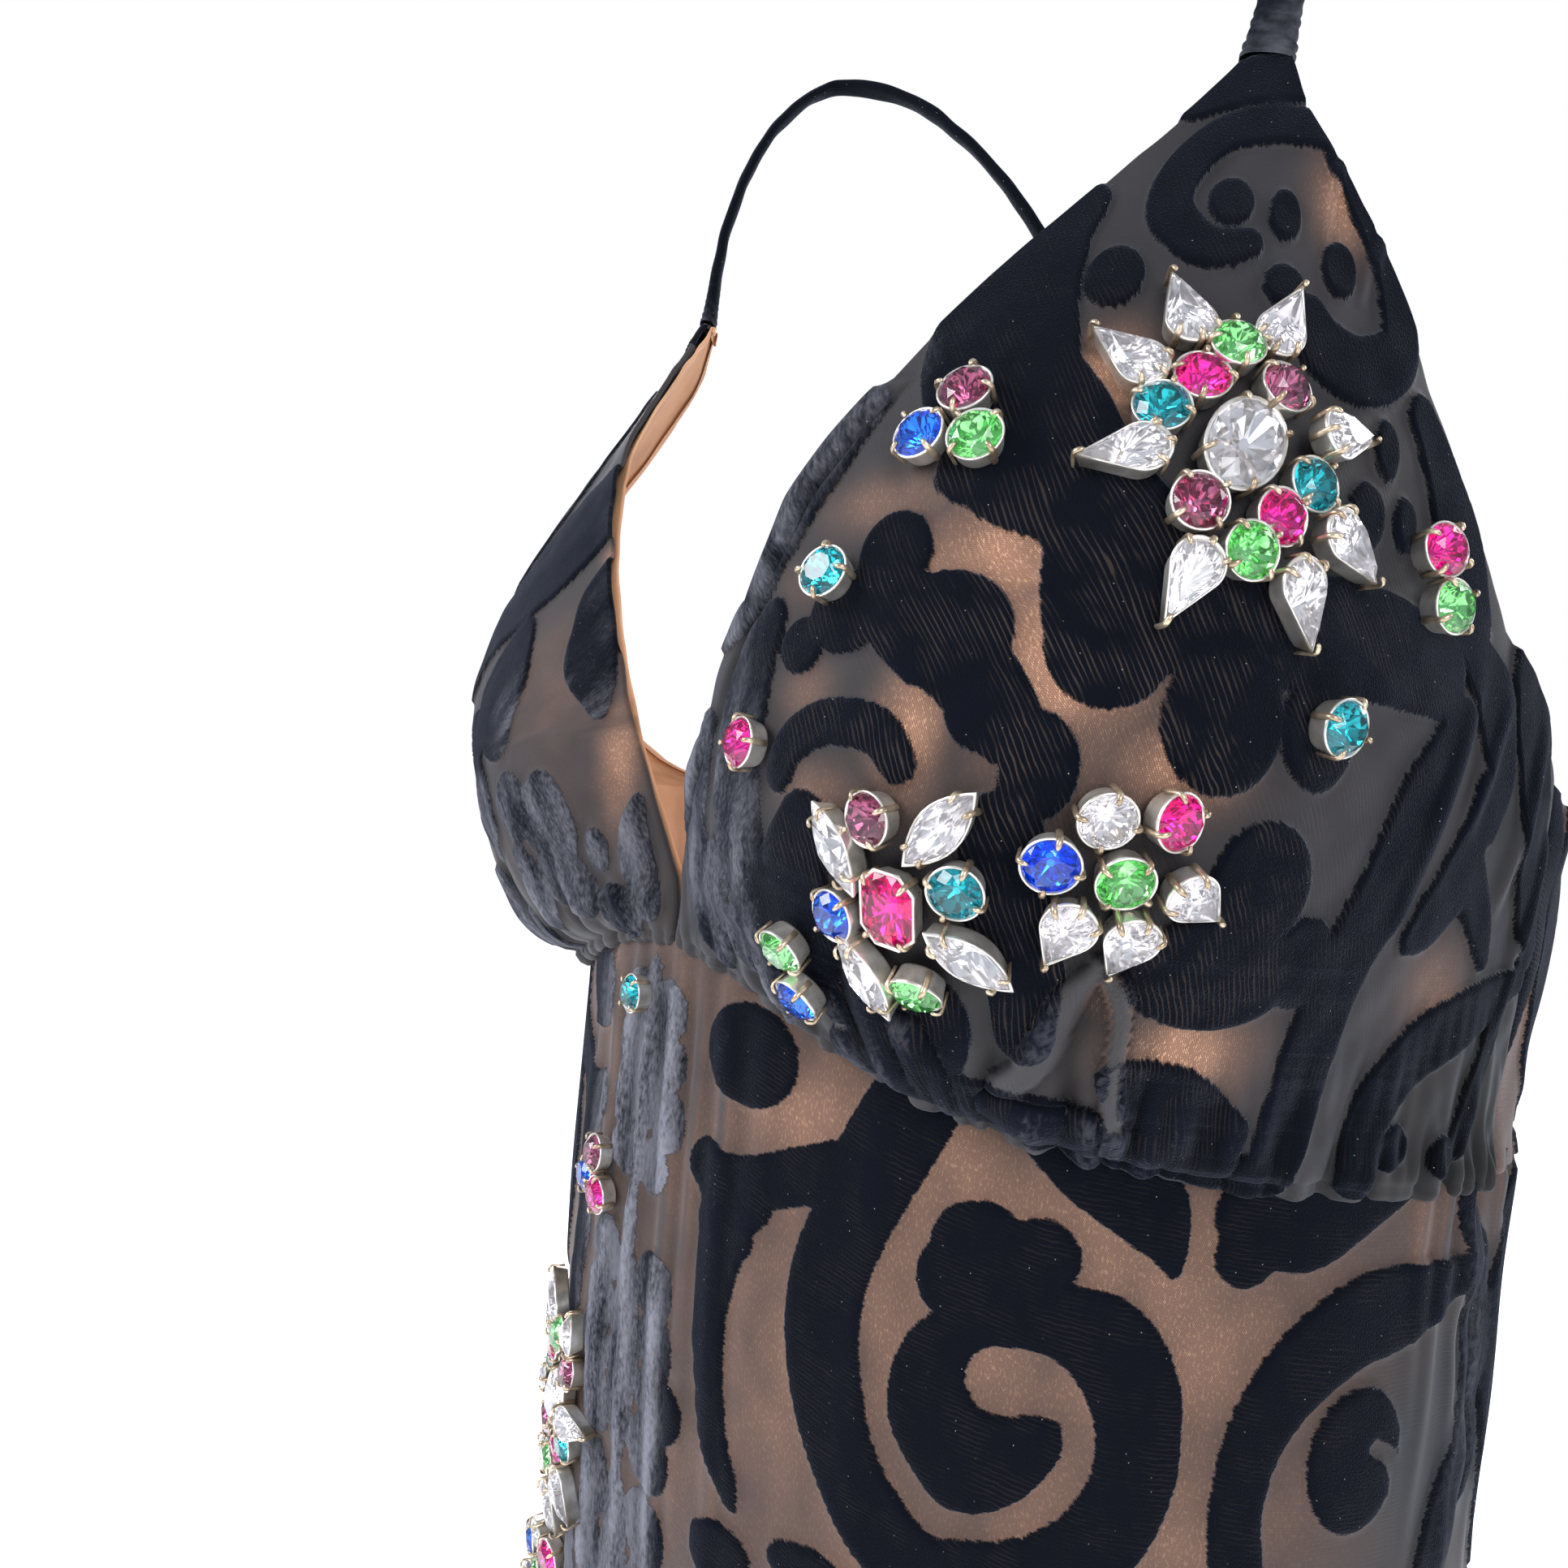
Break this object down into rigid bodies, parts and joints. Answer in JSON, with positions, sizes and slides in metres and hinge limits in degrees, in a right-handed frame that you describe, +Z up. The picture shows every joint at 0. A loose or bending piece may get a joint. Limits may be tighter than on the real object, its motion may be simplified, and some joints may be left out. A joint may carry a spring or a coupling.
{
  "type": "velvet gown",
  "caption": "Floor-length devoré velvet gown in its worn shape: gathered triangle cups, thin straps, A-line skirt, plain lining and groups of sewn-on cut stones.",
  "frame": {"origin": "midway between the tops of the two shoulder straps, where the wearer's shoulders hold the gown", "axes": "+Z up towards the straps, the front faces -Y, the wearer's left is +X"},
  "size_m": [0.6408, 0.6153, 1.3981],
  "materials": {
    "velvet": "black devoré velvet, deep pile figures on sheer black ground",
    "lining": "smooth tan lining with a soft sheen",
    "crystals": "faceted foiled stones, clear and coloured, polished",
    "settings": "aged silver-coloured claw settings"
  },
  "bodies": {
    "root": {"cup_left": "velvet", "cup_right": "velvet", "cup_lining_left": "lining", "cup_lining_right": "lining", "back_left": "velvet", "back_right": "velvet", "back_lining_left": "lining", "back_lining_right": "lining", "strap_left": "velvet", "strap_right": "velvet", "skirt_front": "velvet", "skirt_back": "velvet", "skirt_lining_front": "lining", "skirt_lining_back": "lining", "stones_flower_cup": "crystals", "stones_octagon": "crystals", "stones_half_flower_cup": "crystals", "stones_triple_cup": "crystals", "stones_pair_front": "crystals", "stones_pair_side": "crystals", "stone_neckline_high": "crystals", "stone_neckline_low": "crystals", "stone_side": "crystals", "stone_skirt_top": "crystals", "stones_triple_skirt": "crystals", "stones_flower_skirt": "crystals", "stones_half_flower_skirt": "crystals"}
  },
  "joints": []
}
